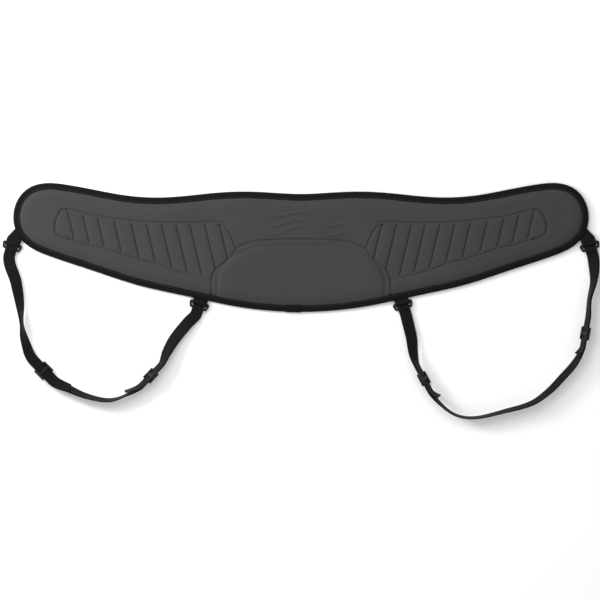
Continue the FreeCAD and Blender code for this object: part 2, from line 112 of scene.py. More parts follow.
HALF_LENGTH = box_mm("right_wing_binding")[1][0]
HALF_HEIGHT = box_mm("centre_binding")[0][1] / EDGE_SHAPE[-1][1]
BAND_RIM = box_mm("centre_binding")[1][2]
FACE_TOP = box_mm("centre_face_skin")[1][2]
FIELD_TOP = box_mm("right_wing_face_skin")[1][2]
OUTER_TAB_BAR = joint_mm("right_outer_ring_swing")
INNER_TAB_BAR = joint_mm("right_inner_ring_swing")
TAB_BARS = {"outer": OUTER_TAB_BAR, "inner": INNER_TAB_BAR}
OUTER_STRAP_BAR = joint_mm("right_loop_swing")
BAR_ALONG = np.array(JOINTS["right_loop_swing"]["axis"]) * -1.0
BAR_OUT = np.array([BAR_ALONG[1], -BAR_ALONG[0], 0.0])
BAR_PITCH = np.linalg.norm(OUTER_STRAP_BAR - OUTER_TAB_BAR)
INNER_STRAP_BAR = INNER_TAB_BAR + BAR_OUT * BAR_PITCH
RING_HEIGHT = OUTER_TAB_BAR[2]

# The face and the lining start this far in from the band's edge, under the
# binding. Each has its shown rows, then the rows that close it inside the band.
CLOTH_INSET = 6.5
TIP_CROWDING = 1.3
FACE_ROWS = 170
FACE_SHOWN_ROWS = 160
FACE_BACK_LEVEL = 2.3
LINING_INNER_LEVEL = 2.2
LINING_EDGE_LEVEL = 0.95

# Moulded lines of the right half, in millimetres.
PANEL_LINE = [(-20, 20.2), (0, 20.4), (40, 19.5), (73, 17), (94, 12), (108, 5), (120, -9), (132, -21),
              (146, -33), (151.5, -45), (152.5, -60), (152.5, -95)]
RAISED_LINE = [(-20, 9.6), (0, 9.6), (31, 9.6), (61, 9.2), (86, 4), (106, -3.5), (120, -13), (132, -24),
               (139, -35), (142.6, -48), (142.6, -95)]
HOOK_LINE = [(111, 5), (114, 14), (120, 27), (129, 40), (143, 45.5)]
FIELD_TOP_LINE = [(132, 48), (150, 50), (190, 48), (255, 49), (300, 53), (347, 59), (382, 68), (398, 71)]
FIELD_END_LINE = [(398, 71), (407, 69), (414, 58), (418, 45), (417, 34), (410, 25), (395, 20)]
FIELD_FOOT_LINE = [(395, 20), (362, 10), (337, 4.6), (305, -6), (280, -14), (247, -22), (222, -32),
                   (195, -39), (168, -46), (155, -50)]
RIB_TOPS = [138, 163, 188.5, 212, 236.5, 262, 288, 316, 343, 367, 391]
RIB_LEAN = 0.235

# Leg loops. A point has its distance along the line of the strap bars from
# the inner ring, its distance out from that line, and its lean in degrees. An
# adjuster has its heading in degrees before its lean. A tail has its length
# and how far its end stands off the strap.
LOOPS = {
    "left": {
        "inner run": [(9, 29, 12), (22, 62, 22), (28, 88, 42)],
        "inner adjuster": (42, 134, 64, 64),
        "bottom": [(74, 180, 78), (98, 195.5, 70), (135, 200, 62), (170, 197, 48)],
        "outer adjuster": (218, 181, -28, 25),
        "outer run": [(265, 140, 50), (278, 116, 78), (291, 85, 50), (308, 52, 20)],
        "inner tail": (33, 6),
        "outer tail": (32, 1),
    },
    "right": {
        "inner run": [(-1, 26, 12), (-3, 52, 24), (-8, 80, 45)],
        "inner adjuster": (-4, 125, 80, 66),
        "bottom": [(14, 181, 76), (33, 203, 78), (62, 215, 76), (110, 219, 70), (158, 220, 64),
                   (191, 210, 56), (221, 194, 52), (250, 176, 55)],
        "outer adjuster": (281, 134, -62, 66),
        "outer run": [(305, 82, 74), (321, 55, 60), (329, 32, 30)],
        "inner tail": (20, 8),
        "outer tail": (18, 4),
    },
}
BAR_SPAN = 333.0

# Webbing, rings and adjusters. A ring's halves and an eye's radius are at the
# middle of the wire and the webbing. A strap leaves its eye EYE_LENGTH out
# from the bar, an upper layer bulges by up to SPREAD, and layers come together
# or apart over TAIL_EASE.
WEBBING = 1.4
STRAP_WIDTH = 20.0
TAB_WIDTH = 25.0
BAR_RADIUS = 2.0
RING_CORNER = 2.2
RING_STEPS = 96
TAB_BAR_HALF = 15.9
STRAP_BAR_HALF = 13.4
EYE_RADIUS = 3.7
EYE_POINTS = 25
EYE_LENGTH = 8.7
ADJUSTER_RUN = 23.0
ADJUSTER_HALF = 12.8
SPREAD = 0.7
TAIL_EASE = 14.0
TAB_DEPTH = {"outer": 28.0, "inner": 26.0}
TAB_TAPER = {"outer": 9.5, "inner": 0.0}


# Materials

def linear(hex_colour):
    """An sRGB hex colour as linear red, green, blue and alpha."""
    parts = [int(hex_colour[place:place + 2], 16) / 255 for place in (1, 3, 5)]
    return [part / 12.92 if part <= 0.04045 else ((part + 0.055) / 1.055) ** 2.4 for part in parts] + [1.0]


def add_node(tree, kind, settings=None, links=None, **values):
    """Adds a node, sets its fields and input values and joins its inputs to other nodes' outputs."""
    node = tree.nodes.new(kind)
    for name, value in (settings or {}).items():
        setattr(node, name, value)
    for name, value in values.items():
        node.inputs[name.replace("_", " ")].default_value = value
    for name, source in (links or {}).items():
        tree.links.new(source, node.inputs[name])
    return node


# Distance over which a wave texture of scale 1 repeats.
WAVE_REPEAT = 0.314


def new_finish(name, roughness, **values):
    """A new material with its shader's values set, its node tree and its shader."""
    finish = bpy.data.materials.new(name)
    finish.use_nodes = True
    tree = finish.node_tree
    shader = tree.nodes["Principled BSDF"]
    shader.inputs["Roughness"].default_value = roughness
    for socket, value in values.items():
        shader.inputs[socket.replace("_", " ")].default_value = value
    return finish, tree, shader


def two_tone(tree, shader, factor, low, high):
    """Colours the shader from one sRGB hex value to another."""
    ramp = add_node(tree, "ShaderNodeValToRGB", links={"Fac": factor})
    ramp.color_ramp.elements[0].color = linear(low)
    ramp.color_ramp.elements[1].color = linear(high)
    tree.links.new(ramp.outputs["Color"], shader.inputs["Base Color"])


def blended(tree, share, first, second):
    """Blend of two values, with this share of the second."""
    blend = add_node(tree, "ShaderNodeMix", {"data_type": "FLOAT"}, Factor=share)
    tree.links.new(first, blend.inputs[2])
    tree.links.new(second, blend.inputs[3])
    return blend.outputs[0]


def bands(tree, place, direction, **values):
    """Value of parallel waves that repeat every WAVE_REPEAT / Scale."""
    return add_node(tree, "ShaderNodeTexWave", {"wave_type": "BANDS", "bands_direction": direction},
                    {"Vector": place}, **values).outputs["Fac"]


def noise(tree, place, scale, detail):
    """Value of a noise whose blotches are about 1 / scale across."""
    return add_node(tree, "ShaderNodeTexNoise", links={"Vector": place}, Scale=scale,
                    Detail=detail).outputs["Fac"]


def roughen(tree, shader, height, strength, distance):
    """Gives the shader a fine relief, with its depth in metres."""
    bump = add_node(tree, "ShaderNodeBump", links={"Height": height}, Strength=strength, Distance=distance)
    tree.links.new(bump.outputs["Normal"], shader.inputs["Normal"])


def moulded_knit(face_hex, worn_hex):
    """Polyester knit laminated to foam and heat moulded: matt grey, fine in grain and uneven in tone."""
    finish, tree, shader = new_finish("moulded_polyester_knit", 0.8, Sheen_Weight=0.06, Sheen_Roughness=0.5,
                                      Specular_IOR_Level=0.18, IOR=1.5)
    place = add_node(tree, "ShaderNodeTexCoord").outputs["Object"]
    # Knit loops are 1.4 mm apart, drawn at twice the real pitch so that they show.
    loops = add_node(tree, "ShaderNodeMath", {"operation": "MULTIPLY"})
    for socket, direction in enumerate("XY"):
        wave = bands(tree, place, direction, Scale=224.0, Distortion=0.6, Detail=1.0)
        tree.links.new(wave, loops.inputs[socket])
    grain = noise(tree, place, 900.0, 4.0)
    cloud = noise(tree, place, 14.0, 5.0)
    two_tone(tree, shader, blended(tree, 0.45, grain, cloud), face_hex, worn_hex)
    roughen(tree, shader, blended(tree, 0.5, loops.outputs[0], grain), 0.35, 0.0003)
    return finish


def spacer_mesh():
    """Warp-knitted spacer mesh: black, matt, with rows of small open holes."""
    finish, tree, shader = new_finish("black_spacer_mesh", 0.85, Sheen_Weight=0.05, Specular_IOR_Level=0.15)
    place = add_node(tree, "ShaderNodeTexCoord").outputs["Object"]
    # Holes are 2.4 mm apart. Their centres are painted darker: painted shade in the holes.
    holes = add_node(tree, "ShaderNodeTexVoronoi", {"feature": "F1"}, {"Vector": place}, Scale=420.0,
                     Randomness=0.15).outputs["Distance"]
    two_tone(tree, shader, holes, "#0d0d0e", "#26262a")
    roughen(tree, shader, holes, 0.8, 0.0006)
    return finish


def woven_tape(name, rib_mm, dark_hex, highlight_hex, sheen):
    """Woven polyester: black with cross ribs painted lighter and darker as painted highlight and shade, and a
    slight sheen from its filaments.
    """
    finish, tree, shader = new_finish(name, 0.62, Sheen_Weight=sheen, Sheen_Roughness=0.4,
                                      Specular_IOR_Level=0.08, IOR=1.5)
    # The piece's map is in millimetres along and across the weave, and its yarns are 1.1 mm apart.
    flat = add_node(tree, "ShaderNodeTexCoord").outputs["UV"]
    ribs = bands(tree, flat, "X", Scale=WAVE_REPEAT / rib_mm, Distortion=0.4, Detail=1.0)
    yarns = bands(tree, flat, "Y", Scale=WAVE_REPEAT / 1.1, Distortion=0.3, Detail=1.0)
    weave = blended(tree, 0.4, ribs, yarns)
    fuzz = noise(tree, flat, 0.35, 5.0)
    # Half the colour is the weave, painted lighter on the ribs and yarns and darker between them as painted
    # highlight and shade; the other half is the yarns' own uneven tone.
    two_tone(tree, shader, blended(tree, 0.5, weave, fuzz), dark_hex, highlight_hex)
    roughen(tree, shader, weave, 0.6, 0.0004)
    return finish


def sewing_thread():
    """Twisted bonded polyester thread: black with a fine diagonal twist and a slight gleam."""
    finish, tree, shader = new_finish("black_polyester_thread", 0.5, Specular_IOR_Level=0.3)
    flat = add_node(tree, "ShaderNodeTexCoord").outputs["UV"]
    # The twist is painted as lighter and darker diagonal bands: painted highlight and shade of the plies.
    two_tone(tree, shader, bands(tree, flat, "DIAGONAL", Scale=0.5), "#101011", "#262628")
    return finish


def coated_steel():
    """Powder-coated steel wire: satin black with a fine orange peel."""
    finish, tree, shader = new_finish("black_powder_coated_steel", 0.45, Specular_IOR_Level=0.2, IOR=1.5)
    place = add_node(tree, "ShaderNodeTexCoord").outputs["Object"]
    # Peel is about 0.8 mm across.
    peel = noise(tree, place, 1200.0, 2.0)
    two_tone(tree, shader, peel, "#0c0c0d", "#19191a")
    roughen(tree, shader, peel, 0.25, 0.0001)
    return finish


def moulded_nylon():
    """Injection-moulded nylon: satin black with a spark-eroded grain."""
    finish, tree, shader = new_finish("black_moulded_nylon", 0.55, Specular_IOR_Level=0.15, IOR=1.53)
    place = add_node(tree, "ShaderNodeTexCoord").outputs["Object"]
    # Grain is about 0.5 mm across.
    grain = noise(tree, place, 2000.0, 3.0)
    two_tone(tree, shader, noise(tree, place, 90.0, 3.0), "#0e0e0f", "#1c1c1e")
    roughen(tree, shader, grain, 0.3, 0.0001)
    return finish


def pale_floor():
    """Matt painted board: plain and nearly white."""
    finish, tree, shader = new_finish("pale_painted_floor", 0.9, Specular_IOR_Level=0.1)
    place = add_node(tree, "ShaderNodeTexCoord").outputs["Object"]
    two_tone(tree, shader, noise(tree, place, 3.0, 2.0), "#fafafa", "#fdfdfd")
    return finish


FINISHES = {}


def finish_named(name, maker, *colours):
    """The finish of that name, made once."""
    if name not in FINISHES:
        FINISHES[name] = maker(*colours)
    return FINISHES[name]


def webbing_finish(sizes):
    """The webbing of the straps and the tabs."""
    return finish_named("webbing", woven_tape, "black_polyester_webbing", 1.8, sizes.webbing,
                        sizes.webbing_highlight, 0.02)


# Lines and surfaces

def closed_curve(points, count):
    """Points along the smooth closed curve through these points."""
    points = np.asarray(points, float)
    total = len(points)
    ahead = np.roll(points, -1, axis=0)
    steps = np.linalg.norm(ahead - points, axis=1)
    before = np.roll(steps, 1)
    slopes = (ahead - points) / steps[:, None]
    system = np.diag(2 * (before + steps))
    index = np.arange(total)
    system[index, index - 1] = steps
    system[index, (index + 1) % total] = before
    wanted = 3 * (steps[:, None] * np.roll(slopes, 1, axis=0) + before[:, None] * slopes)
    ways = np.linalg.solve(system, wanted)
    knots = np.concatenate([[0], np.cumsum(steps)])
    places = np.linspace(0, knots[-1], count, endpoint=False)
    part = np.searchsorted(knots, places, side="right") - 1
    share = ((places - knots[part]) / steps[part])[:, None]
    near, far = points[part], ahead[part]
    reach = steps[part][:, None]
    return hermite(near, far, ways[part] * reach, np.roll(ways, -1, axis=0)[part] * reach, share)


def hermite(near, far, near_way, far_way, share):
    """Points on smooth bends that leave and arrive in given ways."""
    two, three = share ** 2, share ** 3
    return (near * (2 * three - 3 * two + 1) + near_way * (three - 2 * two + share)
            + far * (3 * two - 2 * three) + far_way * (three - two))


def open_curve(points, count):
    """Points along a smooth open line through these points."""
    points = np.asarray(points, float)
    ways = np.gradient(points, axis=0)
    spots = np.linspace(0, len(points) - 1, count)
    part = np.minimum(spots.astype(int), len(points) - 2)
    share = (spots - part)[:, None]
    return hermite(points[part], points[part + 1], ways[part], ways[part + 1], share)


def run_along(points):
    """Distance along a line of points at each of them."""
    return np.concatenate([[0], np.cumsum(np.linalg.norm(np.diff(points, axis=0), axis=1))])


def values_at(place, run, track):
    """Rows of a track, given at the distances in run, at other distances."""
    return np.column_stack([np.interp(place, run, column) for column in track.T])


def evenly(points, count):
    """Points spaced evenly along a line, and its length."""
    run = run_along(points)
    return values_at(np.linspace(0, run[-1], count), run, points), run[-1]


def band_edge():
    """The band's edge, clockwise from the middle of the top."""
    right = np.array(EDGE_SHAPE) * (HALF_LENGTH, HALF_HEIGHT)
    left = right[-2:0:-1] * (-1, 1)
    return closed_curve(np.vstack([right, left]), EDGE_COUNT)


def inwards(points):
    """Directions into the band from its edge."""
    way = np.roll(points, -1, axis=0) - np.roll(points, 1, axis=0)
    way /= np.linalg.norm(way, axis=1)[:, None]
    return np.column_stack([way[:, 1], -way[:, 0]])


EDGE = band_edge()
EDGE_IN = inwards(EDGE)


def half_edge(inset):
    """The right half of the edge, moved inwards, from the top middle to the bottom middle."""
    moved = (EDGE + EDGE_IN * inset)[:HALF_COUNT]
    moved[0, 0] = 0.0
    moved[-1, 0] = 0.0
    return moved


def distance_to(points, line):
    """Shortest distance from each point to a line of points."""
    best = np.full(len(points), 1e9)
    for start, end in zip(line, line[1:]):
        way = end - start
        share = np.clip(((points - start) @ way) / max(way @ way, 1e-9), 0, 1)
        best = np.minimum(best, np.linalg.norm(points - start - share[:, None] * way, axis=1))
    return best


def eased(value):
    """0 to 1 with level ends."""
    value = np.clip(value, 0, 1)
    return value * value * (3 - 2 * value)


def inside(points, outline):
    """Which points lie inside a closed outline."""
    found = np.zeros(len(points), bool)
    for start, end in zip(outline, np.roll(outline, -1, axis=0)):
        crosses = (start[1] > points[:, 1]) != (end[1] > points[:, 1])
        rise = end[1] - start[1]
        reach = start[0] + (points[:, 1] - start[1]) * (end[0] - start[0]) / (rise if rise else 1e-9)
        found ^= crosses & (points[:, 0] < reach)
    return found


# Mesh making

def deselect_all():
    """Leaves nothing selected."""
    bpy.ops.object.select_all(action="DESELECT")


def formed(name, columns, rows, shape, material, smooth=40.0):
    """A grid whose points are laid by shape(u, v), joined where they meet and closed at its ends."""
    deselect_all()
    bpy.ops.mesh.primitive_grid_add(x_subdivisions=columns, y_subdivisions=rows, size=1.0)
    piece = bpy.context.object
    piece.name = name
    piece.data.name = name
    mesh = piece.data
    flat = np.zeros(len(mesh.vertices) * 3)
    mesh.vertices.foreach_get("co", flat)
    flat = flat.reshape(-1, 3)
    places, cloth = shape(flat[:, 0] + 0.5, flat[:, 1] + 0.5)
    mesh.vertices.foreach_set("co", (places * MM).ravel())
    scale = np.zeros(len(mesh.loops) * 2)
    mesh.uv_layers.active.data.foreach_get("uv", scale)
    mesh.uv_layers.active.data.foreach_set("uv", (scale.reshape(-1, 2) * cloth).ravel())
    mesh.update()
    bpy.ops.object.mode_set(mode="EDIT")
    bpy.ops.mesh.select_all(action="SELECT")
    bpy.ops.mesh.remove_doubles(threshold=1e-6)
    bpy.ops.mesh.fill_holes(sides=0)
    bpy.ops.mesh.select_all(action="SELECT")
    bpy.ops.mesh.normals_make_consistent(inside=False)
    bpy.ops.object.mode_set(mode="OBJECT")
    bpy.ops.object.shade_smooth_by_angle(angle=math.radians(smooth))
    mesh.materials.append(material)
    return piece


def bend_at_crease(piece):
    """Writes the piece's placement into its points."""
    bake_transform(piece)


def on_side(shape, sign):
    """Shape function of the same piece on the right or the left side."""
    def placed(u, v):
        places, cloth = shape(u, v)
        return places * np.array([sign, 1.0, 1.0]), cloth

    return placed


def half_cloth():
    """Function giving places on the right half inside the binding, and that half's length."""
    border = half_edge(CLOTH_INSET)
    tip = int(np.argmax(border[:, 0]))
    upper, lower = border[:tip + 1], border[tip:][::-1]
    far = border[tip, 0]

    def flat_at(u, share):
        x = far * (1 - (1 - u) ** TIP_CROWDING)
        top = np.interp(x, upper[:, 0], upper[:, 1])
        bottom = np.interp(x, lower[:, 0], lower[:, 1])
        return np.column_stack([x, bottom + (top - bottom) * share])

    return flat_at, far


# Moulded face

def face_height(flat, rim, waves, ribs, lines):
    """Height of the moulded face at places on the right half."""
    away = distance_to(flat, EDGE[:HALF_COUNT:4])
    shoulder = np.clip((away - 10.5) / 17.0, 0, 1)
    height = rim + (FIELD_TOP - rim) * (1 - (1 - shoulder) ** 2.2)
    panel = open_curve(PANEL_LINE, 90)
    raised = open_curve(RAISED_LINE, 90)
    in_panel = inside(flat, np.vstack([raised, [(142.6, -130.0), (-20, -130.0)]]))
    raise_by = np.where(in_panel, eased(distance_to(flat, raised) / 7.0), 0.0)
    height += (FACE_TOP - FIELD_TOP - 0.6) * raise_by * eased((away - 10) / 22)
    crown = np.clip(1 - (np.abs(flat[:, 1] + 38) / 62) ** 2, 0, 1)
    height += 0.6 * raise_by * crown
    field = open_curve(FIELD_TOP_LINE, 60), open_curve(FIELD_END_LINE, 30), open_curve(FIELD_FOOT_LINE, 60)
    hook = open_curve(HOOK_LINE, 40)
    along_panel = panel[(panel[:, 0] > 111) & (panel[:, 1] > -40)][::-1]
    outline = np.vstack([field[0], field[1], field[2], along_panel, hook])
    in_field = inside(flat, outline)
    tops = np.array(RIB_TOPS)
    upright = flat[:, 0] + (46 - flat[:, 1]) * RIB_LEAN
    nearest = np.min(np.abs(upright[:, None] - tops[None, :]), axis=1) / math.hypot(1, RIB_LEAN)
    to_border = np.minimum.reduce([distance_to(flat, line) for line in field])
    depth_in = np.where(in_field, eased((to_border - 1.0) / 5.0), 0.0)
    swell = 0.9 * (1 - np.exp(-(nearest / 5.5) ** 2))
    height += depth_in * (swell - ribs * np.exp(-(nearest / 1.5) ** 2) - 0.3)
    for line, depth, width in ((panel, 2.3, 1.6), (raised, 0.7, 1.4), (hook, 2.2, 1.6),
                               (field[0], 2.0, 1.6), (field[1], 2.3, 1.8)):
        height -= lines * depth * np.exp(-(distance_to(flat, line) / width) ** 2)
    fade = eased((flat[:, 0] - 150) / 60)
    height -= lines * 1.9 * (0.25 + 0.75 * fade) * np.exp(-(distance_to(flat, field[2]) / 1.6) ** 2)
    wave_zone = eased((80 - flat[:, 0]) / 14)
    for index in range(3):
        crest = 34 + 14 * index + (7 - 1.5 * index) * np.cos(flat[:, 0] * math.pi / 52)
        height += waves * wave_zone * np.exp(-((flat[:, 1] - crest) / 1.7) ** 2)
    return height


def face_shape(rim, waves, ribs, lines):
    """Closed form of the right half of the face and its foam."""
    flat_at, far = half_cloth()
    back_rows = FACE_ROWS - FACE_SHOWN_ROWS - 2

    def shape(u, v):
        row = np.rint(v * FACE_ROWS)
        on_face = (row <= FACE_SHOWN_ROWS) | (row == FACE_ROWS)
        down = np.clip(FACE_ROWS - 1 - row, 0, None) / back_rows
        flat = flat_at(u, np.where(row <= FACE_SHOWN_ROWS, row / FACE_SHOWN_ROWS, down))
        z = np.where(on_face, 0.0, FACE_BACK_LEVEL)
        z[on_face] = face_height(flat[on_face], rim, waves, ribs, lines)
        return np.column_stack([flat, z]), (far, 200.0)

    return shape


class FaceProperties(bpy.types.PropertyGroup):
    fabric: StringProperty(name="Fabric colour", description="Grey of the moulded knit, sRGB hex",
                           default="#2f2f2f")
    worn: StringProperty(name="Light yarn colour", description="Lighter yarns of the knit, sRGB hex",
                         default="#3f3f40")
    wave_height: FloatProperty(name="Wave height", description="How far the moulded waves stand up",
                               default=1.6 * MM, min=0.0, unit="LENGTH")
    rib_depth: FloatProperty(name="Rib depth", description="Depth of the grooves between the ribs",
                             default=2.4 * MM, min=0.0, unit="LENGTH")
    line_strength: FloatProperty(name="Line strength", description="Share of the moulded lines' full depth",
                                 default=1.0, min=0.0, max=1.5, subtype="FACTOR")


class HARNESS_OT_face(bpy.types.Operator):
    """Moulded padded face, one half on each side of the middle"""
    bl_idname = "harness.face"
    bl_label = "Moulded face"

    def execute(self, context):
        sizes = context.scene.harness_face
        knit = finish_named("face", moulded_knit, sizes.fabric, sizes.worn)
        shape = face_shape(BAND_RIM - 1.0, sizes.wave_height / MM, sizes.rib_depth / MM,
                           sizes.line_strength)
        for side, sign in SIDES.items():
            piece = formed(f"{side}_moulded_face", 500, FACE_ROWS, on_side(shape, sign), knit, 60.0)
            nodes = [f"{side}_wing_face_skin", f"{side}_wing_foam_core"]
            if side == "right":
                nodes += ["centre_face_skin", "centre_foam_core", "lumbar_insert"]
            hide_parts(*nodes)
            bend_at_crease(piece)
        return {"FINISHED"}


# Lining

class LiningProperties(bpy.types.PropertyGroup):
    swell: FloatProperty(name="Swell", description="How far the lining swells out between the bound edges",
                         default=0.6 * MM, min=0.0, unit="LENGTH")


class HARNESS_OT_lining(bpy.types.Operator):
    """Mesh lining against the wearer's back, one half on each side of the middle"""
    bl_idname = "harness.lining"
    bl_label = "Mesh lining"

    def execute(self, context):
        mesh = finish_named("lining", spacer_mesh)
        swell = context.scene.harness_lining.swell / MM
        flat_at, far = half_cloth()
        edge = EDGE[:HALF_COUNT:8]

        def shape(u, v):
            flat = flat_at(u, 1 - np.abs(2 * v - 1))
            back = LINING_EDGE_LEVEL - swell * eased((distance_to(flat, edge) - 11) / 14)
            z = np.where((v <= 0.5) | (v > 0.999), back, LINING_INNER_LEVEL)
            return np.column_stack([flat, z]), (far, 400.0)

        for side, sign in SIDES.items():
            piece = formed(f"{side}_mesh_lining", 160, 100, on_side(shape, sign), mesh, 60.0)
            nodes = [f"{side}_wing_back_skin"] + (["centre_back_skin"] if side == "right" else [])
            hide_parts(*nodes)
            bend_at_crease(piece)
        return {"FINISHED"}


# Binding

def tape_section(inner, outer, width):
    """Loop round the cut tape: distance in from the edge and height, folded over the band's rim."""
    middle = BAND_RIM / 2
    inside_face, outside_face = [], []
    for lift, track in ((inner, inside_face), (outer, outside_face)):
        half = middle - 0.9 + lift
        corner = min(half, 3.0 + lift)
        track.append((width, middle + half))
        for first, level in ((90, middle + half - corner), (180, middle - half + corner)):
            for step in range(5):
                angle = math.radians(first + step * 22.5)
                inset = 0.9 - lift + corner + corner * math.cos(angle)
                track.append((inset, level + corner * math.sin(angle)))
        track.append((width, middle - half))
    return np.array(outside_face + inside_face[::-1] + outside_face[:1])


def tape_along(line, normal, section, ripple):
    """Shape function of a tape folded over a line of the edge."""
    run = run_along(line)

    def shape(u, v):
        place = u * run[-1]
        inset, level = values_at(v * (len(section) - 1), range(len(section)), section).T
        deep = eased((inset - 7) / 4)
        inset = inset + ripple * deep * (np.sin(place / 5.3) + np.sin(place / 8.9 + 1))
        pull = eased((inset - 5) / 3) * np.sin(place * math.pi / 4) ** 2
        level = level - ripple * pull * np.sign(level - 3.9)
        flat = values_at(place, run, line) + values_at(place, run, normal) * inset[:, None]
        return np.column_stack([flat, level]), (run[-1], 36.0)

    return shape


class BindingProperties(bpy.types.PropertyGroup):
    width: FloatProperty(name="Shown width", description="Width of the binding that shows on the face",
                         default=11.2 * MM, min=6 * MM, unit="LENGTH")
    thickness: FloatProperty(name="Tape thickness", description="Thickness of the binding tape",
                             default=0.9 * MM, min=0.3 * MM, unit="LENGTH")
    tape: StringProperty(name="Tape colour", description="Black of the binding tape, sRGB hex",
                         default="#070708")
    tape_highlight: StringProperty(name="Tape highlight", description="Lighter ribs of the tape, sRGB hex",
                               default="#121213")


class HARNESS_OT_binding(bpy.types.Operator):
    """Ribbed tape folded over the band's edge, and its overlapped end"""
    bl_idname = "harness.binding"
    bl_label = "Edge binding"

    def execute(self, context):
        sizes = context.scene.harness_binding
        tape = finish_named("tape", woven_tape, "black_grosgrain_binding", 1.6, sizes.tape,
                            sizes.tape_highlight, 0.02)
        width, thick = sizes.width / MM, sizes.thickness / MM
        section = tape_section(0.0, thick, width)
        folded = tape_along(half_edge(0.0), EDGE_IN[:HALF_COUNT], section, 0.18)

        def shape(u, v):
            places, cloth = folded(u, v)
            places[:, 0] = np.maximum(places[:, 0], 0.0)
            return places, cloth

        for side, sign in SIDES.items():
            piece = formed(f"{side}_edge_binding", 1400, len(section) - 1, on_side(shape, sign), tape, 50.0)
            nodes = [f"{side}_wing_binding"] + (["centre_binding"] if side == "right" else [])
            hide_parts(*nodes)
            bend_at_crease(piece)
        end_half = box_mm("binding_end")[0][0]
        where = (EDGE[:, 1] < 0) & (EDGE[:, 0] <= 0) & (EDGE[:, 0] >= end_half)
        # The lap's lower leg is kept off the floor, with its inner face over its outer one.
        lap = tape_section(thick + 0.05, 2 * thick, width + 0.6)
        lap[:, 1] = np.maximum(lap[:, 1], 0.0)
        lap[12:-1, 1] = np.maximum(lap[12:-1, 1], 0.3)
        shape = tape_along(EDGE[where], EDGE_IN[where], lap, 0.1)
        over = formed("binding_lap", 40, len(lap) - 1, shape, tape, 50.0)
        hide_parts("binding_end")
        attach(over, "centre")
        return {"FINISHED"}


# Stitching

def thread_along(line, level, pitch, thick):
    """Shape function of a stitched thread that dips into the cloth at every needle hole."""
    run = run_along(line)
    ahead = np.gradient(line, axis=0)
    ahead /= np.linalg.norm(ahead, axis=1)[:, None]

    def shape(u, v):
        place = u * run[-1]
        base, way = values_at(place, run, line), values_at(place, run, ahead)
        dip = np.abs(np.sin(place * math.pi / pitch)) ** 0.5
        turn = v * 2 * math.pi
        side = np.column_stack([way[:, 1], -way[:, 0]]) * (np.cos(turn) * thick / 2)[:, None]
        height = level - 0.75 + 0.85 * dip + np.sin(turn) * thick / 2
        return np.column_stack([base + side, height]), (run[-1], 3.0)

    return shape


class StitchProperties(bpy.types.PropertyGroup):
    inset: FloatProperty(name="Seam inset", description="Distance of the seam from the band's edge",
                         default=8.9 * MM, min=4 * MM, unit="LENGTH")
    pitch: FloatProperty(name="Stitch length", description="Distance between needle holes",
                         default=4.0 * MM, min=2 * MM, unit="LENGTH")
    thread: FloatProperty(name="Thread thickness", description="Thickness of the thread",
                          default=0.7 * MM, min=0.2 * MM, unit="LENGTH")


class HARNESS_OT_stitches(bpy.types.Operator):
    """Lockstitch seam through the binding"""
    bl_idname = "harness.stitches"
    bl_label = "Binding seam"

    def execute(self, context):
        sizes = context.scene.harness_stitches
        thread = finish_named("thread", sewing_thread)
        line = half_edge(sizes.inset / MM)
        shape = thread_along(line, BAND_RIM, sizes.pitch / MM, sizes.thread / MM)
        for side, sign in SIDES.items():
            piece = formed(f"{side}_binding_seam", 1500, 6, on_side(shape, sign), thread, 60.0)
            nodes = [f"{side}_wing_thread"] + (["centre_thread"] if side == "right" else [])
            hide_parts(*nodes)
            bend_at_crease(piece)
        return {"FINISHED"}


# Webbing

def webbing_shape(path, across, width, thick, far_edge=None):
    """Shape function of a woven ribbon along a path, its count of columns across, and its length."""
    run = run_along(path)
    ahead = np.gradient(path, axis=0)
    ahead /= np.linalg.norm(ahead, axis=1)[:, None]
    across = across / np.linalg.norm(across, axis=1)[:, None]
    through = np.cross(across, ahead)
    through /= np.linalg.norm(through, axis=1)[:, None]
    far_edge = np.full(len(path), width / 2) if far_edge is None else far_edge
    half, rim = width / 2, thick / 2
    side = [(0, rim), (half * 0.5, rim), (half - rim, rim), (half - rim * 0.3, rim * 0.7), (half, 0)]
    quarter = side + [(x, -z) for x, z in side[-2::-1]]
    corners = np.array(quarter + [(-x, z) for x, z in quarter[-2:0:-1]] + quarter[:1])

    def shape(u, v):
        place = u * run[-1]
        aside, lift = values_at(v * (len(corners) - 1), range(len(corners)), corners).T
        aside = np.where(aside > 0, aside * np.interp(place, run, far_edge) / half, aside)
        middle, sideways, upwards = (values_at(place, run, track) for track in (path, across, through))
        return middle + sideways * aside[:, None] + upwards * lift[:, None], (run[-1], 2 * width)

    return shape, len(corners) - 1, run[-1]


def heading(degrees):
    """Direction at an angle from the line of the strap bars, outwards."""
    angle = math.radians(degrees)
    return BAR_ALONG * math.cos(angle) + BAR_OUT * math.sin(angle)


def loop_place(along, out, lean=0.0):
    """A point of a loop's route; its height holds the lean in radians."""
    share = along / BAR_SPAN
    place = INNER_STRAP_BAR + (OUTER_STRAP_BAR - INNER_STRAP_BAR) * share + BAR_OUT * out
    return np.array([place[0], place[1], math.radians(lean)])


def bent_run(points, start_way, end_way, step=3.0):
    """Places along a curved run, with lean as height."""
    points = np.array(points)
    reach = np.linalg.norm(np.diff(points[:, :2], axis=0), axis=1)
    ways = [start_way]
    for index in range(1, len(points) - 1):
        chord = points[index + 1] - points[index - 1]
        ways.append(chord / np.linalg.norm(chord[:2]))
    ways.append(end_way)
    places = []
    for index in range(len(points) - 1):
        count = max(2, int(reach[index] / step))
        share = (np.arange(count) / count)[:, None]
        places.append(hermite(points[index], points[index + 1], ways[index] * reach[index],
                              ways[index + 1] * reach[index], share))
    places.append(points[-1:])
    return np.vstack(places)


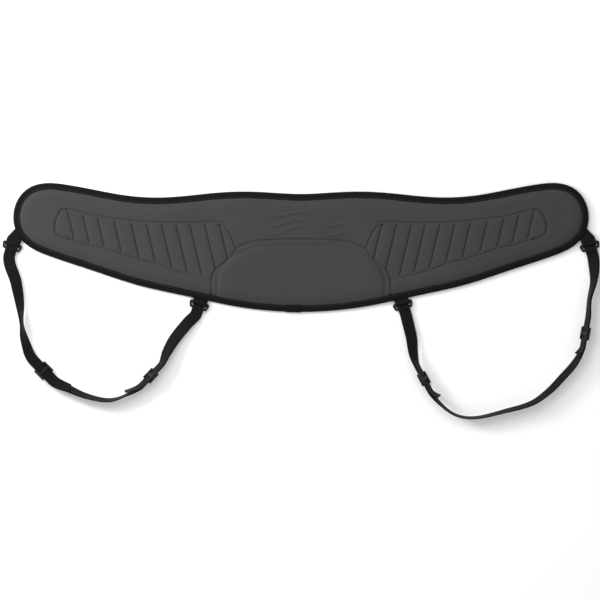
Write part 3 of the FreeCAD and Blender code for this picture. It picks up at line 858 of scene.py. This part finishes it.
def route_of(loop):
    """The strap's middle line from ring to ring, with its lean, and where each adjuster is."""
    stops, enters, leaves = {}, {}, {}
    for end in ("inner", "outer"):
        along, out, degrees, lean = loop[f"{end} adjuster"]
        place, way = loop_place(along, out, lean), heading(degrees)
        stops[end] = place, way
        enters[end], leaves[end] = place - way * ADJUSTER_RUN, place + way * ADJUSTER_RUN
    start, finish = loop_place(0, 0), loop_place(BAR_SPAN, 0)
    inner_run, bottom, outer_run = ([loop_place(*point) for point in loop[part]]
                                    for part in ("inner run", "bottom", "outer run"))
    first = start + BAR_OUT * EYE_LENGTH
    last = finish + BAR_OUT * EYE_LENGTH
    inner_way, outer_way = stops["inner"][1], stops["outer"][1]
    runs = [
        bent_run([first] + inner_run + [enters["inner"]], BAR_OUT, inner_way),
        bent_run([leaves["inner"]] + bottom + [enters["outer"]], inner_way, outer_way),
        bent_run([leaves["outer"]] + outer_run + [last], outer_way, -BAR_OUT),
    ]
    return runs, stops, start, finish


def laid(route, offset):
    """Points and cross directions of a strap on its route, moved off it through its thickness."""
    ahead = np.gradient(route[:, :2], axis=0)
    ahead = np.column_stack([ahead / np.linalg.norm(ahead, axis=1)[:, None], np.zeros(len(route))])
    outwards = np.column_stack([ahead[:, 1], -ahead[:, 0], np.zeros(len(route))])
    lean = route[:, 2][:, None]
    across = outwards * np.cos(lean) + UP * np.sin(lean)
    level = RING_HEIGHT * np.cos(lean) + ADJUSTER_HALF * np.sin(lean)
    through = np.cross(across, ahead)
    places = np.column_stack([route[:, 0], route[:, 1], level[:, 0]]) + through * offset[:, None]
    return places, across


def straight(start, end, count):
    """Points of a flat straight stretch."""
    share = np.linspace(0, 1, count)[:, None]
    return start + (end - start) * share


def eye(bar, first, last):
    """Webbing round a bar, from one angle to another; 0 points out from the band and 90 up."""
    angles = np.radians(np.linspace(first, last, EYE_POINTS))
    centre = np.array([bar[0], bar[1], RING_HEIGHT])
    return centre + (np.outer(np.cos(angles), BAR_OUT) + np.outer(np.sin(angles), UP)) * EYE_RADIUS


def strap_path(loop):
    """Points and cross directions of the whole strap, from the inner tail to the outer one."""
    runs, stops, start, finish = route_of(loop)
    held = {end: straight(stop - way * ADJUSTER_RUN, stop + way * ADJUSTER_RUN, 16)
            for end, (stop, way) in stops.items()}
    parts = [runs[0], held["inner"], runs[1], held["outer"], runs[2]]
    master = np.vstack([part[:-1] for part in parts[:-1]] + [parts[-1]])
    marks = np.cumsum([len(part) - 1 for part in parts])
    reach = run_along(master[:, :2])
    first, second, third, fourth, last = (reach[mark] for mark in marks)
    gap = WEBBING / 2 + 0.1
    doubled = np.maximum(1 - eased((reach - second) / TAIL_EASE),
                         eased((reach - third + TAIL_EASE) / TAIL_EASE))
    lower, lower_across = laid(master, -gap * doubled)
    # An upper layer bulges a little between its ring and its adjuster, and
    # its tail leaves the strap beyond the adjuster.
    tops = []
    ends = ((reach / first, reach - second, loop["inner tail"]),
            ((last - reach) / (last - fourth), third - reach, loop["outer tail"]))
    for bulge, past, (tail, splay) in ends:
        offset = gap + SPREAD * np.sin(np.clip(bulge, 0, 1) * math.pi) ** 2
        offset += gap * eased(past / TAIL_EASE) + splay * np.clip(past / tail, 0, 1) ** 1.5
        kept = past <= tail
        tops.append([track[kept][::-1] for track in laid(master, offset)])
    (inner_top, inner_across), (outer_top, outer_across) = tops
    inner_eye, outer_eye = eye(start, 75, 285), eye(finish, 75, 285)
    path = [inner_top, inner_eye, lower, outer_eye[::-1], outer_top]
    across = [inner_across, np.tile(-BAR_ALONG, (EYE_POINTS, 1)), lower_across,
              np.tile(BAR_ALONG, (EYE_POINTS, 1)), outer_across]
    return np.vstack(path), np.vstack(across)


class WebbingProperties(bpy.types.PropertyGroup):
    strap_width: FloatProperty(name="Strap width", description="Width of the leg loops' webbing",
                               default=STRAP_WIDTH * MM, min=15 * MM, unit="LENGTH")
    tab_width: FloatProperty(name="Tab width", description="Width of the tabs' webbing",
                             default=TAB_WIDTH * MM, min=15 * MM, unit="LENGTH")
    webbing: StringProperty(name="Webbing colour", description="Black of the webbing, sRGB hex",
                            default="#070708")
    webbing_highlight: StringProperty(name="Webbing highlight", description="Lighter yarns, sRGB hex",
                                  default="#161617")


class HARNESS_OT_leg_loops(bpy.types.Operator):
    """Leg loops: one length of webbing each, doubled from the rings to the adjusters, with free tails"""
    bl_idname = "harness.leg_loops"
    bl_label = "Leg loops"

    def execute(self, context):
        sizes = context.scene.harness_webbing
        weave = webbing_finish(sizes)
        for side, sign in SIDES.items():
            path, across = strap_path(LOOPS[side])
            shape, around, length = webbing_shape(path, across, sizes.strap_width / MM, WEBBING)
            piece = formed(f"{side}_leg_loop_webbing", int(length / 1.6), around, on_side(shape, sign),
                           weave, 50.0)
            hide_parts(f"{side}_leg_strap")
            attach(piece, f"{side}_leg_loop")
        return {"FINISHED"}


def tab_path(bar, depth):
    """Webbing folded round a ring's bar, with both legs going into the band."""
    centre = np.array([bar[0], bar[1], RING_HEIGHT])
    legs = np.linspace(depth, 5.5, 14)
    upper = centre - np.outer(legs, BAR_OUT) + UP * WEBBING / 2
    lower = centre - np.outer(legs, BAR_OUT) - UP * WEBBING / 2
    return np.vstack([upper, eye(bar, 105, -105), lower[::-1]])


class HARNESS_OT_tabs(bpy.types.Operator):
    """Short webbing tabs that hold the rings, sewn into the band's edge"""
    bl_idname = "harness.tabs"
    bl_label = "Ring tabs"

    def execute(self, context):
        sizes = context.scene.harness_webbing
        weave = webbing_finish(sizes)
        thread = finish_named("thread", sewing_thread)
        half = sizes.tab_width / MM / 2
        for side, sign in SIDES.items():
            for place, bar in TAB_BARS.items():
                path = tab_path(bar, TAB_DEPTH[place])
                into = (np.array([bar[0], bar[1], RING_HEIGHT]) - path) @ BAR_OUT
                cut = np.clip((into - 9.0) / 19.0, 0, 1) * TAB_TAPER[place]
                across = np.tile(BAR_ALONG, (len(path), 1))
                shape, around, _ = webbing_shape(path, across, 2 * half, WEBBING, half - cut)
                piece = formed(f"{side}_{place}_ring_tab", 90, around, on_side(shape, sign), weave, 50.0)
                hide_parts(f"{side}_{place}_tab")
                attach(piece, f"{side}_wing")
                row = np.array([bar[:2] + BAR_ALONG[:2] * along - BAR_OUT[:2] * (6.2 + 1.1 * (step % 2))
                                for step, along in enumerate(np.linspace(-half + 2, half - 2, 27))])
                tack = thread_along(row, RING_HEIGHT + WEBBING + 0.2, 2.6, 0.6)
                bar_tack = formed(f"{side}_{place}_bar_tack", 160, 6, on_side(tack, sign), thread, 60.0)
                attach(bar_tack, f"{side}_wing")
        return {"FINISHED"}


# Rings

def ring_line():
    """Closed middle line of the ring's wire: along the bars and out from the tab's bar."""
    corners = np.array([(-TAB_BAR_HALF, 0.0), (TAB_BAR_HALF, 0.0), (STRAP_BAR_HALF, BAR_PITCH),
                        (-STRAP_BAR_HALF, BAR_PITCH)])
    line = []
    for index in range(4):
        here, before, after = corners[index], corners[index - 1], corners[(index + 1) % 4]
        into = (here - before) / np.linalg.norm(here - before)
        away = (after - here) / np.linalg.norm(after - here)
        turn = math.acos(np.clip(into @ away, -1, 1))
        cut = RING_CORNER * math.tan(turn / 2)
        start, end = here - into * cut, here + away * cut
        for share in np.linspace(0, 1, 9):
            line.append((1 - share) ** 2 * start + 2 * share * (1 - share) * here + share ** 2 * end)
    return np.array(line + line[:1])


class RingProperties(bpy.types.PropertyGroup):
    wire: FloatProperty(name="Wire thickness", description="Thickness of the ring's coated wire",
                        default=2 * BAR_RADIUS * MM, min=2 * MM, unit="LENGTH")


class HARNESS_OT_rings(bpy.types.Operator):
    """Bent wire rings between the tabs and the leg loops"""
    bl_idname = "harness.rings"
    bl_label = "Rings"

    def execute(self, context):
        steel = finish_named("steel", coated_steel)
        radius = context.scene.harness_rings.wire / MM / 2
        line, length = evenly(ring_line(), RING_STEPS + 1)
        out = np.roll(line[:-1], -1, axis=0) - np.roll(line[:-1], 1, axis=0)
        out = np.column_stack([out[:, 1], -out[:, 0]]) / np.linalg.norm(out, axis=1)[:, None]
        out = np.vstack([out, out[:1]])
        knots = range(RING_STEPS + 1)
        for side, sign in SIDES.items():
            for place, bar in TAB_BARS.items():
                def shape(u, v):
                    flat, away = (values_at(u * RING_STEPS, knots, track) for track in (line, out))
                    turn = v * 2 * math.pi
                    flat = flat + away * (np.cos(turn) * radius)[:, None]
                    places = (bar + np.outer(flat[:, 0], BAR_ALONG) + np.outer(flat[:, 1], BAR_OUT)
                              + np.outer(np.sin(turn) * radius, UP))
                    return places, (length, 2 * math.pi * radius)

                piece = formed(f"{side}_{place}_wire_ring", RING_STEPS, 20, on_side(shape, sign), steel, 60.0)
                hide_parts(f"{side}_{place}_ring")
                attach(piece, f"{side}_{place}_ring")
        return {"FINISHED"}


# Adjusters

class AdjusterProperties(bpy.types.PropertyGroup):
    rounding: FloatProperty(name="Rounding", description="Rounding of the moulded edges",
                            default=0.8 * MM, min=0.1 * MM, unit="LENGTH")


class HARNESS_OT_adjusters(bpy.types.Operator):
    """Slide adjusters with softly rounded moulded edges"""
    bl_idname = "harness.adjusters"
    bl_label = "Slide adjusters"

    def execute(self, context):
        nylon = finish_named("nylon", moulded_nylon)
        rounding = context.scene.harness_adjusters.rounding
        for side in SIDES:
            for place in ("outer", "inner"):
                node = f"{side}_{place}_adjuster"
                deselect_all()
                piece = bpy.data.objects.new(f"{side}_{place}_slide", frame["nodes"][node].data.copy())
                context.scene.collection.objects.link(piece)
                context.view_layer.objects.active = piece
                piece.select_set(True)
                bpy.ops.object.mode_set(mode="EDIT")
                bpy.ops.mesh.select_all(action="SELECT")
                bpy.ops.mesh.remove_doubles(threshold=1e-6)
                bpy.ops.mesh.dissolve_limited(angle_limit=math.radians(2))
                bpy.ops.object.mode_set(mode="OBJECT")
                bevel = piece.modifiers.new("moulded edge", "BEVEL")
                bevel.width = rounding
                bevel.segments = 3
                bevel.limit_method = "ANGLE"
                bpy.ops.object.modifier_apply(modifier=bevel.name)
                bpy.ops.object.shade_smooth_by_angle(angle=math.radians(35))
                piece.data.materials.clear()
                piece.data.materials.append(nylon)
                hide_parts(node)
                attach(piece, node)
        return {"FINISHED"}


# Stage

class StageProperties(bpy.types.PropertyGroup):
    shown: FloatProperty(name="Width shown", description="Width of the picture on the floor",
                         default=1.02, min=0.1, unit="LENGTH")
    light: FloatProperty(name="Light", description="Power of the soft overhead light",
                         default=11.5, min=0.0, unit="POWER")


class HARNESS_OT_stage(bpy.types.Operator):
    """Pale floor, soft light and a camera that looks straight down"""
    bl_idname = "harness.stage"
    bl_label = "Stage"

    def execute(self, context):
        sizes = context.scene.harness_stage
        scene = context.scene
        floor_level = min(0.0, CAD_BOX[0][2]) - 0.0004
        deselect_all()
        bpy.ops.mesh.primitive_plane_add(size=6.0, location=(0.0, 0.0, floor_level))
        floor = context.object
        floor.name = "floor"
        floor.data.materials.append(finish_named("floor", pale_floor))
        world = bpy.data.worlds.new("soft_white_room")
        world.use_nodes = True
        backdrop = world.node_tree.nodes["Background"]
        backdrop.inputs["Color"].default_value = (1.0, 1.0, 1.0, 1.0)
        backdrop.inputs["Strength"].default_value = 0.78
        scene.world = world
        for name, place, size, power in (("overhead", (-0.35, 0.55, 1.25), 0.9, sizes.light * 0.5),
                                         ("side", (-1.35, 0.55, 0.85), 0.5, sizes.light * 1.7)):
            bpy.ops.object.light_add(type="AREA", location=place)
            lamp = context.object
            lamp.name = name
            lamp.data.shape = "SQUARE"
            lamp.data.size = size
            lamp.data.energy = power
            aim = -lamp.location.normalized()
            lamp.rotation_euler = aim.to_track_quat("-Z", "Y").to_euler()
        bpy.ops.object.camera_add(location=(-0.0017, -0.0833, 2.0), rotation=(0.0, 0.0, 0.0))
        camera = context.object
        camera.name = "overhead_view"
        camera.data.type = "ORTHO"
        camera.data.ortho_scale = sizes.shown
        scene.camera = camera
        scene.view_settings.view_transform = "Standard"
        return {"FINISHED"}


PROPERTIES = {
    "harness_face": FaceProperties,
    "harness_lining": LiningProperties,
    "harness_binding": BindingProperties,
    "harness_stitches": StitchProperties,
    "harness_webbing": WebbingProperties,
    "harness_rings": RingProperties,
    "harness_adjusters": AdjusterProperties,
    "harness_stage": StageProperties,
}
OPERATORS = [HARNESS_OT_face, HARNESS_OT_lining, HARNESS_OT_binding, HARNESS_OT_stitches,
             HARNESS_OT_leg_loops, HARNESS_OT_tabs, HARNESS_OT_rings, HARNESS_OT_adjusters,
             HARNESS_OT_stage]


class HARNESS_PT_panel(bpy.types.Panel):
    """Sizes, colours and makers of the harness band"""
    bl_idname = "HARNESS_PT_panel"
    bl_label = "Harness band"
    bl_space_type = "VIEW_3D"
    bl_region_type = "UI"
    bl_category = "Harness band"

    def draw(self, context):
        for name in PROPERTIES:
            group = self.layout.box()
            sizes = getattr(context.scene, name)
            for field in sizes.__annotations__:
                group.prop(sizes, field)
        for operator in OPERATORS:
            self.layout.operator(operator.bl_idname)


def register():
    """Adds the sizes, the makers and the panel."""
    for name, group in PROPERTIES.items():
        bpy.utils.register_class(group)
        setattr(bpy.types.Scene, name, PointerProperty(type=group))
    for operator in OPERATORS:
        bpy.utils.register_class(operator)
    bpy.utils.register_class(HARNESS_PT_panel)


def unregister():
    """Takes the panel, the makers and the sizes away."""
    bpy.utils.unregister_class(HARNESS_PT_panel)
    for operator in reversed(OPERATORS):
        bpy.utils.unregister_class(operator)
    for name, group in reversed(PROPERTIES.items()):
        delattr(bpy.types.Scene, name)
        bpy.utils.unregister_class(group)


def main():
    """Makes every piece and the stage."""
    register()
    bpy.ops.harness.stage()
    bpy.ops.harness.face()
    bpy.ops.harness.lining()
    bpy.ops.harness.binding()
    bpy.ops.harness.stitches()
    bpy.ops.harness.leg_loops()
    bpy.ops.harness.tabs()
    bpy.ops.harness.rings()
    bpy.ops.harness.adjusters()


if __name__ == "__main__":
    main()
